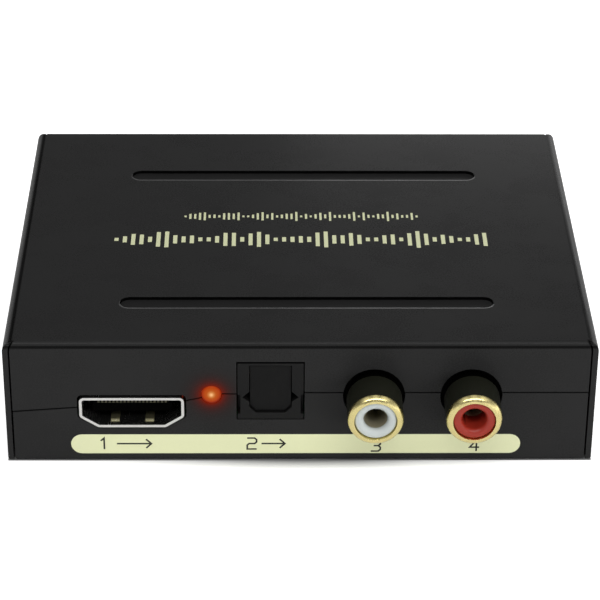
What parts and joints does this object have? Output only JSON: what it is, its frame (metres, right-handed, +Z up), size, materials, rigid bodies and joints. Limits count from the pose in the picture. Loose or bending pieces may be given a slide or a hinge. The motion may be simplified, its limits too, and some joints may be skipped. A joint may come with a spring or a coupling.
{
  "type": "audio extractor",
  "caption": "Low black sheet-metal box that takes the sound off a digital video signal, with video sockets, a shuttered optical socket, phono jacks, a power jack and a mode switch.",
  "frame": {"origin": "centre of the case's bottom face, which is what it stands on; the jacks that stand out of the front face are not counted in that centre", "axes": "+X to the right and -Y forwards for someone who looks at the face with the phono jacks, +Z up"},
  "size_m": [0.085, 0.0759, 0.02],
  "materials": {
    "case_paint": "fine satin black powder coat",
    "screw_black": "black oxide",
    "bright_plate": "bright nickel plate",
    "plain_steel": "zinc plate",
    "tinned_leads": "tin plate",
    "standoff_brass": "plain turned brass",
    "gold_plate": "pale gold plate",
    "socket_black": "smooth black",
    "optical_black": "fine matt black",
    "transmitter_red": "clear dark red",
    "insulator_white": "smooth white",
    "insulator_red": "smooth red",
    "lamp_red": "lit red lens",
    "board_green": "green solder mask",
    "chip_black": "moulded black",
    "ferrite_grey": "matt grey ferrite",
    "can_aluminium": "bright drawn can",
    "ceramic_tan": "fired ceramic",
    "knob_white": "smooth white"
  },
  "bodies": {
    "case": {"top_cover": "case_paint", "bottom_shell": "case_paint", "side_screws": "screw_black", "board_standoffs": "standoff_brass", "board_screws": "plain_steel", "main_board": "board_green", "video_out_shell": "bright_plate", "video_out_insulator": "socket_black", "video_out_contacts": "gold_plate", "video_in_shell": "bright_plate", "video_in_insulator": "socket_black", "video_in_contacts": "gold_plate", "optical_housing": "optical_black", "shutter_spring": "plain_steel", "optical_transmitter": "transmitter_red", "optical_leads": "tinned_leads", "phono_housing": "socket_black", "phono_left_sleeve": "gold_plate", "phono_right_sleeve": "gold_plate", "phono_left_insulator": "insulator_white", "phono_right_insulator": "insulator_red", "phono_left_contact": "gold_plate", "phono_right_contact": "gold_plate", "status_lamp": "lamp_red", "status_lamp_leads": "tinned_leads", "power_jack_housing": "socket_black", "power_jack_pin": "tinned_leads", "power_jack_spring": "gold_plate", "mode_switch_frame": "plain_steel", "mode_switch_base": "socket_black", "mode_switch_pins": "tinned_leads", "video_chip": "chip_black", "video_chip_leads": "tinned_leads", "audio_chip": "chip_black", "audio_chip_leads": "tinned_leads", "memory_chip": "chip_black", "memory_chip_leads": "tinned_leads", "voltage_regulator": "chip_black", "regulator_leads": "tinned_leads", "power_inductor": "ferrite_grey", "inductor_terminals": "tinned_leads", "capacitor_cans": "can_aluminium", "capacitor_bases": "chip_black", "crystal_can": "plain_steel", "crystal_base": "plain_steel", "ceramic_capacitors": "ceramic_tan", "resistors": "chip_black", "surge_arrays": "chip_black"},
    "shutter": {"optical_shutter": "optical_black"},
    "mode_knob": {"mode_switch_knob": "knob_white"}
  },
  "joints": [
    {"name": "optical_shutter_hinge", "type": "hinge", "parent": "case", "child": "shutter", "pos_m": [-0.0043, -0.0324, 0.0153], "axis": [1, 0, 0], "range_deg": [0, 82], "stiffness_Nm_per_rad": 0.0006, "springref_deg": -34.38, "deforming": ["shutter_spring"]},
    {"name": "mode_switch_slide", "type": "slide", "parent": "case", "child": "mode_knob", "axis": [1, 0, 0], "range_m": [-0.002, 0.002]}
  ]
}
